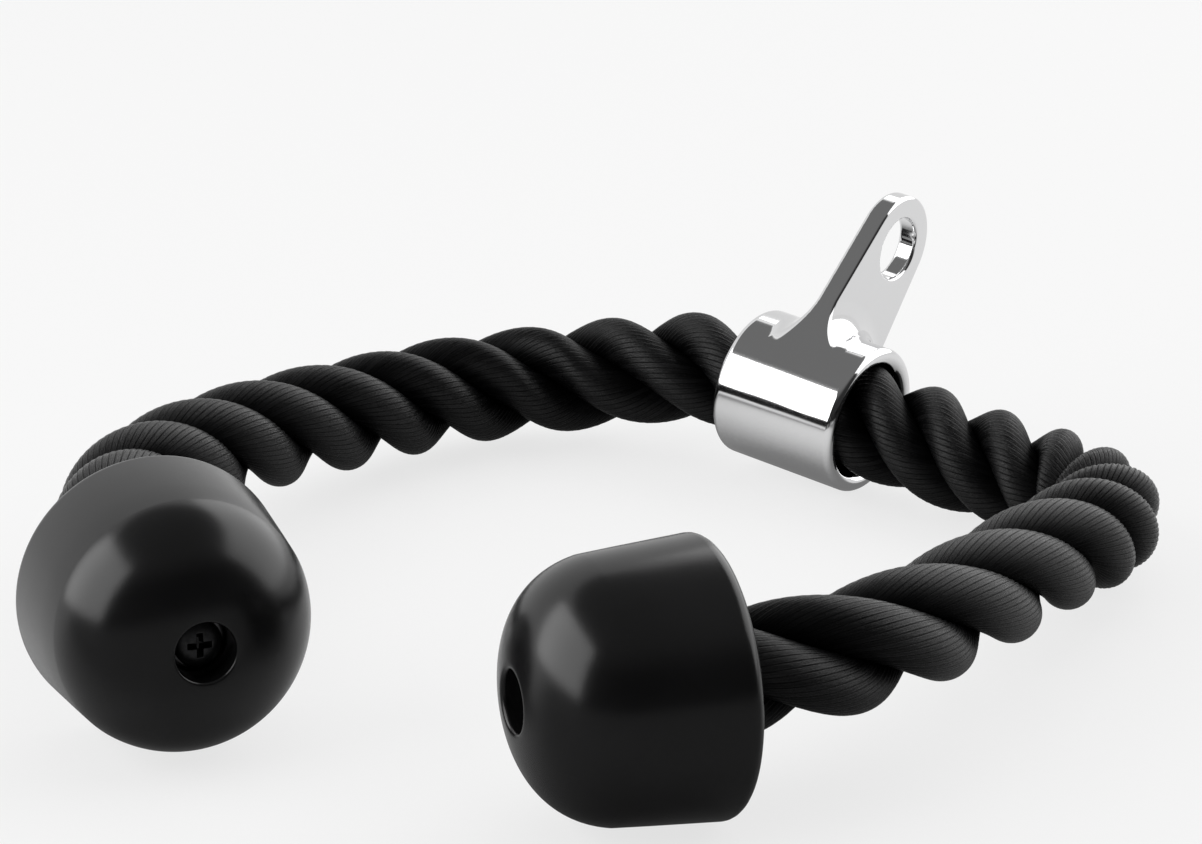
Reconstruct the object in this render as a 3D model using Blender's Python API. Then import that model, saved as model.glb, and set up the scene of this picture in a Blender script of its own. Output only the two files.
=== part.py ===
# Triceps rope for a cable machine: a thick laid rope through a chromed sleeve with an
# eye tab, and a rubber bell cap on each end of the rope, held on by a recessed screw.
# Metres, +Z up, lying on a surface at Z = 0. +X runs along the sleeve, the eye leans
# towards +Y and the rope's two ends lie towards -Y. The origin is on the surface,
# under the middle of the metal and rubber pieces.

import bmesh
import bpy
from math import acos, asin, cos, hypot, pi, radians, sin, sqrt
from mathutils import Matrix, Vector

# Rope

ROPE_DIAMETER = 0.028
ROPE_GAP = 0.0003           # between the rope's stretches, and at its end
ROPE_STEP = 0.012           # between the points of a stretch
ROPE_STUB = 0.003           # straight at each end of a stretch
FLEX_LENGTH = 0.024         # the short stretch that bends at a tail's hinge
ROPE_RING_STEPS = 3         # bevel resolution

# Sleeve and eye tab

SLEEVE_LENGTH = 0.036
SLEEVE_WALL = 0.0042
SLEEVE_EDGE = 0.002         # rounding of the sleeve's outer edges
SLEEVE_FLARE = 0.0025       # rounding of the bore's mouths
SLEEVE_CLEARANCE = 0.0005   # rope to bore, on the radius
SLEEVE_RADIUS = ROPE_DIAMETER / 2 + SLEEVE_CLEARANCE + SLEEVE_WALL
SLEEVE_TILT = radians(7)    # down towards +X
SLEEVE_X = -0.0420
SLEEVE_Y = 0.1099
SLEEVE_STRAIGHT = 0.002     # rope that runs straight out of each mouth

TAB_LEAN = radians(39.5)    # from upright, towards +Y
TAB_THICKNESS = 0.0055
TAB_EDGE = 0.001            # rounding of the tab's long edges
EYE_DISTANCE = 0.0448       # from the sleeve's axis to the eye's centre
EYE_DIAMETER = 0.016
EYE_RIM = 0.0056            # metal round the eye
EYE_CHAMFER = 0.0008
FLARE_HEIGHT = 0.0085       # of the tab's spread towards the sleeve's ends
FLARE_SPREAD = 0.008        # of each face, down to the sleeve
TAB_SINK = 0.0003           # the tab's root inside the sleeve's wall

# Bell caps

CAP_MOUTH_DIAMETER = 0.0620
CAP_SHOULDER_DIAMETER = 0.0592
CAP_SHOULDER_DISTANCE = 0.0193
CAP_LENGTH = 0.0459
CAP_FULLNESS = 2.45         # power of the dome's outline: 2 is a plain ellipse
CAP_LIP = 0.003             # rounding of the mouth's outer edge
CAP_CLEARANCE = 0.0005      # rope to bore, on the radius
CAP_BORE_DEPTH = 0.029
CAP_WEB = 0.0065            # rubber between the bore and the screw's recess
RECESS_DIAMETER = 0.0135
RECESS_EDGE = 0.0008

# Screws, washers and ferrules

SCREW_DIAMETER = 0.006
SCREW_HEAD_DIAMETER = 0.0108
SCREW_HEAD_HEIGHT = 0.0034
SCREW_CLEARANCE = 0.0003
CROSS_SPAN = 0.006          # of the cross recess
CROSS_WIDTH = 0.0014
CROSS_DEPTH = 0.0022
CROSS_TAPER_SHARE = 0.45    # of the cross that is left at its floor
WASHER_CLEARANCE = 0.0006   # washer to recess, on the radius
WASHER_THICKNESS = 0.0012
FERRULE_LENGTH = 0.015
FERRULE_CHAMFER = 0.001
FERRULE_FLOOR = 0.002       # metal under the tapped hole
SEAT_GAP = 0.0003           # between pieces that touch
OVERRUN = 0.004             # of a cutter past what it cuts

# The rope's route, in metres. Each list runs from the sleeve's mouth to a cap's mouth.

LEFT_ROUTE = (
    (-0.0740, 0.1093, 0.0232),
    (-0.0860, 0.1073, 0.0214),
    (-0.0980, 0.1039, 0.0190),
    (-0.1090, 0.0985, 0.0170),
    (-0.1185, 0.0897, 0.0160),
    (-0.1262, 0.0769, 0.0160),
    (-0.1314, 0.0599, 0.0166),
    (-0.1341, 0.0399, 0.0180),
    (-0.1350, 0.0184, 0.0204),
    (-0.1336, -0.0041, 0.0230),
    (-0.1300, -0.0271, 0.0257),
    (-0.1235, -0.0501, 0.0281),
    (-0.1130, -0.0726, 0.0299),
    (-0.0960, -0.0939, 0.0308),
)
LEFT_END = (-0.0709, -0.1110)
LEFT_CAP_AZIMUTH = radians(-33.4)
RIGHT_ROUTE = (
    (-0.0090, 0.1096, 0.0166),
    (0.0050, 0.1088, 0.0151),
    (0.0190, 0.1075, 0.0145),
    (0.0325, 0.1051, 0.0144),
    (0.0448, 0.1001, 0.0147),
    (0.0546, 0.0911, 0.0157),
    (0.0604, 0.0781, 0.0172),
    (0.0633, 0.0627, 0.0189),
    (0.0660, 0.0454, 0.0208),
    (0.0694, 0.0257, 0.0229),
    (0.0731, 0.0047, 0.0251),
    (0.0760, -0.0173, 0.0273),
    (0.0770, -0.0391, 0.0293),
    (0.0733, -0.0609, 0.0307),
)
RIGHT_END = (0.0623, -0.0826)
RIGHT_CAP_AZIMUTH = radians(-124.3)

# The tails' hinges, as lengths of rope from the sleeve's mouths

LEFT_HINGE_DISTANCE = 0.058
RIGHT_HINGE_DISTANCE = 0.081

# Mesh counts

ROUND_SIDES = 48
SMALL_SIDES = 24
ROUTE_STEPS = 12            # between two points of the route
ARC_STEPS = 4
DOME_STEPS = 12
FLARE_ROWS = 10
STEM_ROWS = 2
EYE_ROWS = 8
TAB_COLUMNS = 10
MERGE = 1e-6
SHARP = radians(35)
TAB_EDGE_STEPS = 2
TAB_EDGE_ANGLE = radians(50)


def clear_scene():
    for thing in list(bpy.data.objects):
        bpy.data.objects.remove(thing)


def material(name, colour, roughness, metallic=0.0):
    made = bpy.data.materials.new(name)
    made.use_nodes = True
    shader = made.node_tree.nodes["Principled BSDF"]
    shader.inputs["Base Color"].default_value = (*colour, 1.0)
    shader.inputs["Roughness"].default_value = roughness
    shader.inputs["Metallic"].default_value = metallic
    return made


def empty(name, matrix, parent=None):
    made = bpy.data.objects.new(name, None)
    bpy.context.collection.objects.link(made)
    made.parent = parent
    made.matrix_local = matrix
    return made


def add(name, data, finish, parent=None, matrix=None):
    made = bpy.data.objects.new(name, data)
    bpy.context.collection.objects.link(made)
    data.materials.append(finish)
    made.parent = parent
    if matrix is not None:
        made.matrix_local = matrix
    return made


def mesh_of(bm, name):
    bmesh.ops.recalc_face_normals(bm, faces=bm.faces)
    data = bpy.data.meshes.new(name)
    bm.to_mesh(data)
    bm.free()
    data.shade_smooth()
    data.set_sharp_from_angle(angle=SHARP)
    return data


def turned(name, profile, sides):
    # A profile of (along X, radius) points, turned about X. It either closes on
    # itself, round a bore, or has both its ends on the axis.
    bm = bmesh.new()
    points = [bm.verts.new((along, 0, radius)) for along, radius in profile]
    edges = [bm.edges.new(pair) for pair in zip(points, points[1:])]
    if profile[0][1] > 0:
        edges.append(bm.edges.new((points[-1], points[0])))
    bmesh.ops.spin(
        bm,
        geom=points + edges,
        cent=(0, 0, 0),
        axis=(1, 0, 0),
        angle=2 * pi,
        steps=sides,
        use_merge=True,
    )
    bmesh.ops.remove_doubles(bm, verts=bm.verts, dist=MERGE)
    return mesh_of(bm, name)


def arc(centre, radius, start, end, steps):
    # Points on a round corner of a turned profile, angles from +X towards the radius.
    angles = [start + (end - start) * step / steps for step in range(steps + 1)]
    return [(centre[0] + radius * cos(a), centre[1] + radius * sin(a)) for a in angles]


def boolean(target, cutter, operation):
    cutter.hide_render = True
    cutter.display_type = "WIRE"
    cut = target.modifiers.new(operation.title() + " " + cutter.name, "BOOLEAN")
    cut.operation = operation
    cut.object = cutter
    cut.solver = "EXACT"


def smooth_route(points, first_way, last_way):
    # A smooth curve through the points, which leaves the first and reaches the last
    # along the ways given.
    gaps = [(b - a).length for a, b in zip(points, points[1:])]
    ways = [first_way]
    for i in range(1, len(points) - 1):
        before = (points[i] - points[i - 1]) / gaps[i - 1]
        after = (points[i + 1] - points[i]) / gaps[i]
        ways.append((before * gaps[i] + after * gaps[i - 1]) / (gaps[i - 1] + gaps[i]))
    ways.append(last_way)
    curve = []
    for i, gap in enumerate(gaps):
        for step in range(ROUTE_STEPS):
            t = step / ROUTE_STEPS
            curve.append(
                points[i] * (2 * t**3 - 3 * t**2 + 1)
                + ways[i] * gap * (t**3 - 2 * t**2 + t)
                + points[i + 1] * (3 * t**2 - 2 * t**3)
                + ways[i + 1] * gap * (t**3 - t**2)
            )
    return curve + [points[-1]]


class RopePath:
    # The rope's centre line from one cap's bore to the other, read by its length.

    def __init__(self, points):
        self.points = [points[0]]
        self.lengths = [0.0]
        for point in points[1:]:
            gap = (point - self.points[-1]).length
            if gap > MERGE:
                self.points.append(point)
                self.lengths.append(self.lengths[-1] + gap)

    def at(self, length):
        i = 1
        while i < len(self.lengths) - 1 and self.lengths[i] < length:
            i += 1
        a, b = self.points[i - 1], self.points[i]
        way = (b - a).normalized()
        return a + way * (length - self.lengths[i - 1]), way

    def length_at(self, place):
        nearest = min(range(len(self.points)), key=lambda i: (self.points[i] - place).length)
        return self.lengths[nearest]

    def stretch(self, start, end):
        # Points from start to end, with a straight stub at each end so that two
        # stretches meet on parallel faces.
        first, first_way = self.at(start)
        last, last_way = self.at(end)
        points = [first, first + first_way * ROPE_STUB]
        count = max(2, round((end - start - 2 * ROPE_STUB) / ROPE_STEP))
        inner = (end - start - 2 * ROPE_STUB) / count
        points += [self.at(start + ROPE_STUB + inner * i)[0] for i in range(1, count)]
        return points + [last - last_way * ROPE_STUB, last]


def rope_stretch(name, path, start, end, finish, parent=None):
    origin = parent.matrix_world.translation if parent else Vector()
    points = path.stretch(start, end)
    data = bpy.data.curves.new(name, "CURVE")
    data.dimensions = "3D"
    data.bevel_depth = ROPE_DIAMETER / 2
    data.bevel_resolution = ROPE_RING_STEPS
    data.use_fill_caps = True
    spline = data.splines.new("POLY")
    spline.points.add(len(points) - 1)
    for target, point in zip(spline.points, points):
        target.co = (*(point - origin), 1.0)
    spline.use_smooth = True
    return add(name, data, finish, parent)


def sleeve_frame():
    # The sleeve's own frame: X along its bore, Z out through the eye. The lowest
    # point of its rounded end rests on the surface.
    height = (SLEEVE_RADIUS - SLEEVE_EDGE) * cos(SLEEVE_TILT)
    height += (SLEEVE_LENGTH / 2 - SLEEVE_EDGE) * sin(SLEEVE_TILT) + SLEEVE_EDGE
    place = Matrix.Translation((SLEEVE_X, SLEEVE_Y, height))
    return place @ Matrix.Rotation(SLEEVE_TILT, 4, "Y") @ Matrix.Rotation(-TAB_LEAN, 4, "X")


def tab_half_thickness(from_axis):
    # The tab's faces spread in a quarter of an ellipse down to the sleeve.
    rise = (from_axis - SLEEVE_RADIUS) / FLARE_HEIGHT
    share = min(max(1 - rise, 0.0), 1.0)
    return TAB_THICKNESS / 2 + FLARE_SPREAD * (1 - sqrt(1 - share**2))


def eye_tab():
    # Rows of points from the sleeve's side up to the top of the eye. The sides are
    # the common tangents of the sleeve and of the round end.
    sleeve_radius = SLEEVE_RADIUS - TAB_SINK
    end_radius = EYE_DIAMETER / 2 + EYE_RIM
    lean_share = (sleeve_radius - end_radius) / EYE_DISTANCE
    upright_share = sqrt(1 - lean_share**2)
    low = sleeve_radius * lean_share
    flare_top = SLEEVE_RADIUS + FLARE_HEIGHT
    high = EYE_DISTANCE + end_radius * lean_share
    heights = [low + (flare_top - low) * row / FLARE_ROWS for row in range(FLARE_ROWS)]
    heights += [flare_top + (high - flare_top) * row / STEM_ROWS for row in range(STEM_ROWS)]
    rows = [(z, (sleeve_radius - z * lean_share) / upright_share) for z in heights]
    turn = pi / 2 - asin(lean_share)
    for row in range(EYE_ROWS):
        angle = asin(lean_share) + turn * row / EYE_ROWS
        rows.append((EYE_DISTANCE + end_radius * sin(angle), end_radius * cos(angle)))

    bm = bmesh.new()
    faces = {}
    for side in (1, -1):
        for i, (z, half_width) in enumerate(rows):
            for j in range(TAB_COLUMNS + 1):
                y = half_width * (2 * j / TAB_COLUMNS - 1)
                x = side * tab_half_thickness(hypot(y, z))
                faces[side, i, j] = bm.verts.new((x, y, z))
        top = EYE_DISTANCE + end_radius
        faces[side, len(rows), 0] = bm.verts.new((side * tab_half_thickness(top), 0, top))
    last = len(rows) - 1
    for side in (1, -1):
        for j in range(TAB_COLUMNS):
            for i in range(last):
                corners = ((i, j), (i, j + 1), (i + 1, j + 1), (i + 1, j))
                bm.faces.new([faces[side, a, b] for a, b in corners])
            peak = faces[side, last + 1, 0]
            bm.faces.new((faces[side, last, j], faces[side, last, j + 1], peak))
    for i in range(last):
        for j in (0, TAB_COLUMNS):
            ends = (faces[1, i, j], faces[1, i + 1, j], faces[-1, i + 1, j], faces[-1, i, j])
            bm.faces.new(ends)
    for j in (0, TAB_COLUMNS):
        peak = (faces[1, last + 1, 0], faces[-1, last + 1, 0])
        bm.faces.new((faces[1, last, j], *peak, faces[-1, last, j]))
    for j in range(TAB_COLUMNS):
        bm.faces.new(
            (faces[1, 0, j], faces[1, 0, j + 1], faces[-1, 0, j + 1], faces[-1, 0, j])
        )
    return mesh_of(bm, "eye_tab")


def sleeve_body():
    # A solid round bar with rounded ends, before its bore is cut.
    half, radius = SLEEVE_LENGTH / 2, SLEEVE_RADIUS
    corner = (half - SLEEVE_EDGE, radius - SLEEVE_EDGE)
    right = arc(corner, SLEEVE_EDGE, 0, pi / 2, ARC_STEPS)
    left = [(-along, r) for along, r in reversed(right)]
    return turned("eye_sleeve", [(half, 0), *right, *left, (-half, 0)], ROUND_SIDES)


def bore_cutter():
    half = SLEEVE_LENGTH / 2
    radius = ROPE_DIAMETER / 2 + SLEEVE_CLEARANCE
    corner = (half - SLEEVE_FLARE, radius + SLEEVE_FLARE)
    right = [(half + OVERRUN, 0), (half + OVERRUN, radius + SLEEVE_FLARE)]
    right += arc(corner, SLEEVE_FLARE, 0, -pi / 2, ARC_STEPS)
    left = [(-along, r) for along, r in reversed(right)]
    return turned("bore_cutter", right + left, ROUND_SIDES)


def eye_cutter():
    half, radius = TAB_THICKNESS / 2, EYE_DIAMETER / 2
    wide = (half + OVERRUN, radius + EYE_CHAMFER + OVERRUN)
    right = [(half + OVERRUN, 0), wide, (half - EYE_CHAMFER, radius)]
    left = [(-along, r) for along, r in reversed(right)]
    return turned("eye_cutter", right + left, ROUND_SIDES)


def eye_sleeve(finish, axis):
    # One casting: the sleeve, the tab spreading onto it, and the two holes.
    sleeve = add("eye_sleeve", sleeve_body(), finish, axis)
    tab = add("eye_tab", eye_tab(), finish, axis)
    edges = tab.modifiers.new("Rounded edges", "BEVEL")
    edges.width = TAB_EDGE
    edges.segments = TAB_EDGE_STEPS
    edges.limit_method = "ANGLE"
    edges.angle_limit = TAB_EDGE_ANGLE
    bore = add("bore_cutter", bore_cutter(), finish, axis)
    eye = add("eye_cutter", eye_cutter(), finish, axis)
    eye.location.z = EYE_DISTANCE
    boolean(sleeve, tab, "UNION")
    boolean(sleeve, bore, "DIFFERENCE")
    boolean(sleeve, eye, "DIFFERENCE")


def bell_cap():
    # Mouth at X = 0, pole at X = CAP_LENGTH. The skirt narrows from the mouth to
    # the shoulder, and the dome is a fuller form of half an ellipsoid.
    bore = ROPE_DIAMETER / 2 + CAP_CLEARANCE
    mouth, shoulder = CAP_MOUTH_DIAMETER / 2, CAP_SHOULDER_DIAMETER / 2
    recess = RECESS_DIAMETER / 2
    dome = CAP_LENGTH - CAP_SHOULDER_DISTANCE
    profile = [(0, bore)]
    profile += arc((CAP_LIP, mouth - CAP_LIP), CAP_LIP, pi, pi / 2, ARC_STEPS)
    bend = 2 / CAP_FULLNESS
    last_angle = acos(((recess + RECESS_EDGE) / shoulder) ** (1 / bend))
    for step in range(DOME_STEPS + 1):
        angle = last_angle * step / DOME_STEPS
        along = CAP_SHOULDER_DISTANCE + dome * sin(angle) ** bend
        profile.append((along, shoulder * cos(angle) ** bend))
    rim = profile[-1][0]
    floor = CAP_BORE_DEPTH + CAP_WEB
    hole = SCREW_DIAMETER / 2 + SCREW_CLEARANCE
    profile += [
        (rim - RECESS_EDGE, recess),
        (floor, recess),
        (floor, hole),
        (CAP_BORE_DEPTH, hole),
        (CAP_BORE_DEPTH, bore),
    ]
    return turned("bell_cap", profile, ROUND_SIDES)


def washer():
    start = CAP_BORE_DEPTH + CAP_WEB + SEAT_GAP
    inner = SCREW_DIAMETER / 2 + SCREW_CLEARANCE
    outer = RECESS_DIAMETER / 2 - WASHER_CLEARANCE
    end = start + WASHER_THICKNESS
    return turned(
        "washer", [(start, inner), (start, outer), (end, outer), (end, inner)], SMALL_SIDES
    )


def head_seat():
    return CAP_BORE_DEPTH + CAP_WEB + SEAT_GAP + WASHER_THICKNESS + SEAT_GAP


def ferrule_start():
    return CAP_BORE_DEPTH - SEAT_GAP - FERRULE_LENGTH


def screw_tip():
    return ferrule_start() + FERRULE_FLOOR + SEAT_GAP


def cap_screw():
    # Pan head towards the pole, shank down into the ferrule.
    seat, shank = head_seat(), SCREW_DIAMETER / 2
    head = SCREW_HEAD_DIAMETER / 2
    profile = [(screw_tip(), 0), (screw_tip(), shank), (seat, shank), (seat, head)]
    crown = SCREW_HEAD_HEIGHT / 2
    for step in range(ARC_STEPS):
        angle = pi / 2 * step / ARC_STEPS
        profile.append((seat + crown + crown * sin(angle), head * cos(angle)))
    profile.append((seat + SCREW_HEAD_HEIGHT, 0))
    return turned("cap_screw", profile, SMALL_SIDES)


def cross_cutter():
    top = head_seat() + SCREW_HEAD_HEIGHT
    arm, half = CROSS_SPAN / 2, CROSS_WIDTH / 2
    quarter = ((arm, -half), (arm, half), (half, half))
    levels = ((top - CROSS_DEPTH, CROSS_TAPER_SHARE), (top, 1), (top + OVERRUN, 1))
    bm = bmesh.new()
    rings = []
    for along, share in levels:
        ring = []
        for turn in range(4):
            spin = Matrix.Rotation(turn * pi / 2, 2)
            for y, z in quarter:
                y, z = spin @ Vector((y, z))
                ring.append(bm.verts.new((along, y * share, z * share)))
        rings.append(ring)
    for low, high in zip(rings, rings[1:]):
        for i in range(len(low)):
            j = (i + 1) % len(low)
            bm.faces.new((low[i], low[j], high[j], high[i]))
    bm.faces.new(rings[0])
    bm.faces.new(rings[-1])
    return mesh_of(bm, "cross_cutter")


def ferrule():
    # The steel plug that closes the rope's end, with the screw's tapped hole.
    start = ferrule_start()
    end = start + FERRULE_LENGTH
    radius, hole = ROPE_DIAMETER / 2, SCREW_DIAMETER / 2 + SCREW_CLEARANCE
    floor = start + FERRULE_FLOOR
    profile = [
        (start, 0),
        (start, radius - FERRULE_CHAMFER),
        (start + FERRULE_CHAMFER, radius),
        (end - FERRULE_CHAMFER, radius),
        (end, radius - FERRULE_CHAMFER),
        (end, hole),
        (floor, hole),
        (floor, 0),
    ]
    return turned("ferrule", profile, SMALL_SIDES)


def cap_frame(end, azimuth):
    # The cap lies level with its mouth's rim on the surface.
    place = Matrix.Translation((*end, CAP_MOUTH_DIAMETER / 2))
    return place @ Matrix.Rotation(azimuth, 4, "Z")


def rope_end(side, frame, pivot, finishes):
    # The cap and what holds it on the rope, all riding on the tail's hinge.
    local = pivot.matrix_world.inverted() @ frame
    add(side + "_cap", bell_cap(), finishes["rubber"], pivot, local)
    add(side + "_rope_ferrule", ferrule(), finishes["steel"], pivot, local)
    add(side + "_cap_washer", washer(), finishes["steel"], pivot, local)
    screw = add(side + "_cap_screw", cap_screw(), finishes["screw"], pivot, local)
    cross = add(side + "_cross_cutter", cross_cutter(), finishes["screw"], pivot, local)
    boolean(screw, cross, "DIFFERENCE")


def rope_path(sleeve, caps):
    # Straight in the caps' bores and through the sleeve, curved between them.
    reach = SLEEVE_LENGTH / 2 + SLEEVE_STRAIGHT
    depth = ferrule_start() - ROPE_GAP
    through = sleeve.to_3x3() @ Vector((1, 0, 0))
    points = []
    for side, route, sign in (("left", LEFT_ROUTE, -1), ("right", RIGHT_ROUTE, 1)):
        start = sleeve @ Vector((sign * reach, 0, 0))
        frame = caps[side]
        into = frame.to_3x3() @ Vector((1, 0, 0))
        chosen = [start, *(Vector(point) for point in route), frame.translation]
        half = smooth_route(chosen, through * sign, into)
        half.append(frame @ Vector((depth, 0, 0)))
        points = half[::-1] if sign < 0 else points + half
    return RopePath(points)


def main():
    clear_scene()
    finishes = {
        "chrome": material("chrome", (0.78, 0.79, 0.80), 0.10, 1.0),
        "rope": material("black_rope", (0.022, 0.022, 0.024), 0.75),
        "rubber": material("black_rubber", (0.018, 0.018, 0.019), 0.38),
        "steel": material("zinc_steel", (0.55, 0.55, 0.56), 0.35, 1.0),
        "screw": material("black_screw", (0.05, 0.05, 0.052), 0.35, 1.0),
    }
    sleeve = sleeve_frame()
    caps = {
        "left": cap_frame(LEFT_END, LEFT_CAP_AZIMUTH),
        "right": cap_frame(RIGHT_END, RIGHT_CAP_AZIMUTH),
    }
    path = rope_path(sleeve, caps)
    reach = Vector((SLEEVE_LENGTH / 2 + SLEEVE_STRAIGHT, 0, 0))
    left_hinge = path.length_at(sleeve @ -reach) - LEFT_HINGE_DISTANCE
    right_hinge = path.length_at(sleeve @ reach) + RIGHT_HINGE_DISTANCE

    axis = empty("eye_swivel_axis", sleeve)
    pivots = {}
    for side, length in (("left", left_hinge), ("right", right_hinge)):
        pivots[side] = empty(side + "_tail_pivot", Matrix.Translation(path.at(length)[0]))
    bpy.context.view_layer.update()

    eye_sleeve(finishes["chrome"], axis)
    for side in ("left", "right"):
        rope_end(side, caps[side], pivots[side], finishes)

    flex, gap = FLEX_LENGTH / 2, ROPE_GAP / 2
    stretches = (
        ("rope_left", 0, left_hinge - flex - gap, pivots["left"]),
        ("rope_left_flex", left_hinge - flex + gap, left_hinge + flex - gap, None),
        ("rope_middle", left_hinge + flex + gap, right_hinge - flex - gap, None),
        ("rope_right_flex", right_hinge - flex + gap, right_hinge + flex - gap, None),
        ("rope_right", right_hinge + flex + gap, path.lengths[-1], pivots["right"]),
    )
    for name, start, end, pivot in stretches:
        rope_stretch(name, path, start, end, finishes["rope"], pivot)


main()
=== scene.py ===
import math

import bpy
import numpy as np
from bpy.props import FloatProperty, FloatVectorProperty, IntProperty, PointerProperty
from mathutils import Matrix, Vector


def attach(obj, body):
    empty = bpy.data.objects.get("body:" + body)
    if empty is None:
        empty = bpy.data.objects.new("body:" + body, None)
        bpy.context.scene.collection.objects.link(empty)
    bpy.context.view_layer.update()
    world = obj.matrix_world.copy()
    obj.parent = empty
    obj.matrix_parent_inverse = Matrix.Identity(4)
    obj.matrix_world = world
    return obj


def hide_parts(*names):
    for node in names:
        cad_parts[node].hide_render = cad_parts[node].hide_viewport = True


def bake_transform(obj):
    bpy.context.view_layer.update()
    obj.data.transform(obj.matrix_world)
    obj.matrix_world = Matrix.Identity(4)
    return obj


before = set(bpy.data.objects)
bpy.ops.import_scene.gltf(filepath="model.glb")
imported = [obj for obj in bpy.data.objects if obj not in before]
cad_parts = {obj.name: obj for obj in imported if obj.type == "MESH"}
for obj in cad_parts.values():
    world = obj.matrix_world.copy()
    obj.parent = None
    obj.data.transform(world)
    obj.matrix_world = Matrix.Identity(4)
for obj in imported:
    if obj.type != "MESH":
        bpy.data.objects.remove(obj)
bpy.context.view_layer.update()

bl_info = {
    "name": "Triceps Rope",
    "version": (1, 0, 0),
    "blender": (4, 5, 0),
    "location": "View3D > Sidebar > Triceps Rope",
    "description": "Lays the rope, casts the eye sleeve and moulds the bell caps of a triceps rope",
    "category": "Add Mesh",
}

# The two sides, and the way along X in which each leaves the sleeve

SIDES = {"left": -1, "right": 1}

# The rope's route, from the sleeve's mouth to a cap's mouth

LEFT_ROUTE = (
    (-0.0740, 0.1093, 0.0232),
    (-0.0860, 0.1073, 0.0214),
    (-0.0980, 0.1039, 0.0190),
    (-0.1090, 0.0985, 0.0170),
    (-0.1185, 0.0897, 0.0160),
    (-0.1262, 0.0769, 0.0160),
    (-0.1314, 0.0599, 0.0166),
    (-0.1341, 0.0399, 0.0180),
    (-0.1350, 0.0184, 0.0204),
    (-0.1336, -0.0041, 0.0230),
    (-0.1300, -0.0271, 0.0257),
    (-0.1235, -0.0501, 0.0281),
    (-0.1130, -0.0726, 0.0299),
    (-0.0960, -0.0939, 0.0308),
)
RIGHT_ROUTE = (
    (-0.0090, 0.1096, 0.0166),
    (0.0050, 0.1088, 0.0151),
    (0.0190, 0.1075, 0.0145),
    (0.0325, 0.1051, 0.0144),
    (0.0448, 0.1001, 0.0147),
    (0.0546, 0.0911, 0.0157),
    (0.0604, 0.0781, 0.0172),
    (0.0633, 0.0627, 0.0189),
    (0.0660, 0.0454, 0.0208),
    (0.0694, 0.0257, 0.0229),
    (0.0731, 0.0047, 0.0251),
    (0.0760, -0.0173, 0.0273),
    (0.0770, -0.0391, 0.0293),
    (0.0733, -0.0609, 0.0307),
)

# How the strands are laid: (distance from the sleeve's middle, length of one turn)

LEFT_LAY = (
    (0.000, 0.070),
    (0.120, 0.068),
    (0.150, 0.080),
    (0.330, 0.085),
)
RIGHT_LAY = (
    (0.000, 0.060),
    (0.060, 0.060),
    (0.090, 0.047),
    (0.120, 0.050),
    (0.150, 0.100),
    (0.200, 0.115),
    (0.250, 0.100),
    (0.330, 0.070),
)

# Places of the solid pieces

CAP_PLACES = {
    "left": ((-0.0709, -0.1110, 0.0310), math.radians(-33.4)),
    "right": ((0.0623, -0.0826, 0.0310), math.radians(-124.3)),
}
SLEEVE_PLACE = (-0.0420, 0.1099, 0.020525)
SLEEVE_TILT = math.radians(7)
TAB_LEAN = math.radians(39.5)

# How the rope is drawn

ROUTE_LEAD = 0.002                          # straight rope between the sleeve's mouth and the route
YARN_SHARES = (-1.0, -0.16, 0.0, -0.16)     # relief across a yarn: groove, flank, crown, flank
CROWN_START_SHARE = 0.45                    # of the rope's radius, where a strand's crown begins
YARNS_APART = 100                           # keeps the yarn numbers of the three strands apart
MILLIMETRES = 1000

# How round and fine the meshes are

AXIS_RADIUS = 1e-9
CAP_SIDES = 192
PLATE_SIDES = 96
FLOOR_SIDES = 96
SCREW_STEP = 0.00016

# Where the photographer stood

CAMERA_PLACE = (0.6489, -0.9312, 0.4325)
CAMERA_TURN = (1.2479, 0.0, 0.6283)
CAMERA_LENS = 156.64
CAMERA_SENSOR = 36.0
NEAREST_SEEN = 0.01
FARTHEST_SEEN = 50.0
TO_CAMERA = (0.588, -0.809, 0.0)
FROM_CAMERA = (-0.588, 0.809, 0.0)

# The lamps: compass angle, elevation, distance, size and brightness

LAMPS = {
    "window_lamp": (-142, 27, 1.3, (1.5, 1.08), 2.6),
    "back_lamp": (22, 33, 1.3, (2.3, 1.25), 1.35),
    "overhead_lamp": (-20, 80, 1.6, (1.6, 1.6), 0.7),
}
LAMP_TARGET = (-0.03, 0.0, 0.03)

BLACK = (0.0, 0.0, 0.0, 1.0)
WHITE = (1.0, 1.0, 1.0, 1.0)
# near-black painted shade for the grooves between yarns and between strands
GROOVE_SHADE_PAINT = (0.001, 0.001, 0.001, 1.0)


# What a user would change


def length(name, text, value):
    return FloatProperty(name=name, description=text, default=value, min=0, unit="LENGTH")


def share(name, text, value):
    return FloatProperty(name=name, description=text, default=value, min=0, max=1, subtype="FACTOR")


def number(name, text, value, **limits):
    return FloatProperty(name=name, description=text, default=value, **limits)


def angle(name, text, value):
    return FloatProperty(name=name, description=text, default=value, subtype="ANGLE")


def colour(name, text, value):
    return FloatVectorProperty(
        name=name, description=text, default=value, min=0, max=1, size=3, subtype="COLOR"
    )


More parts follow.
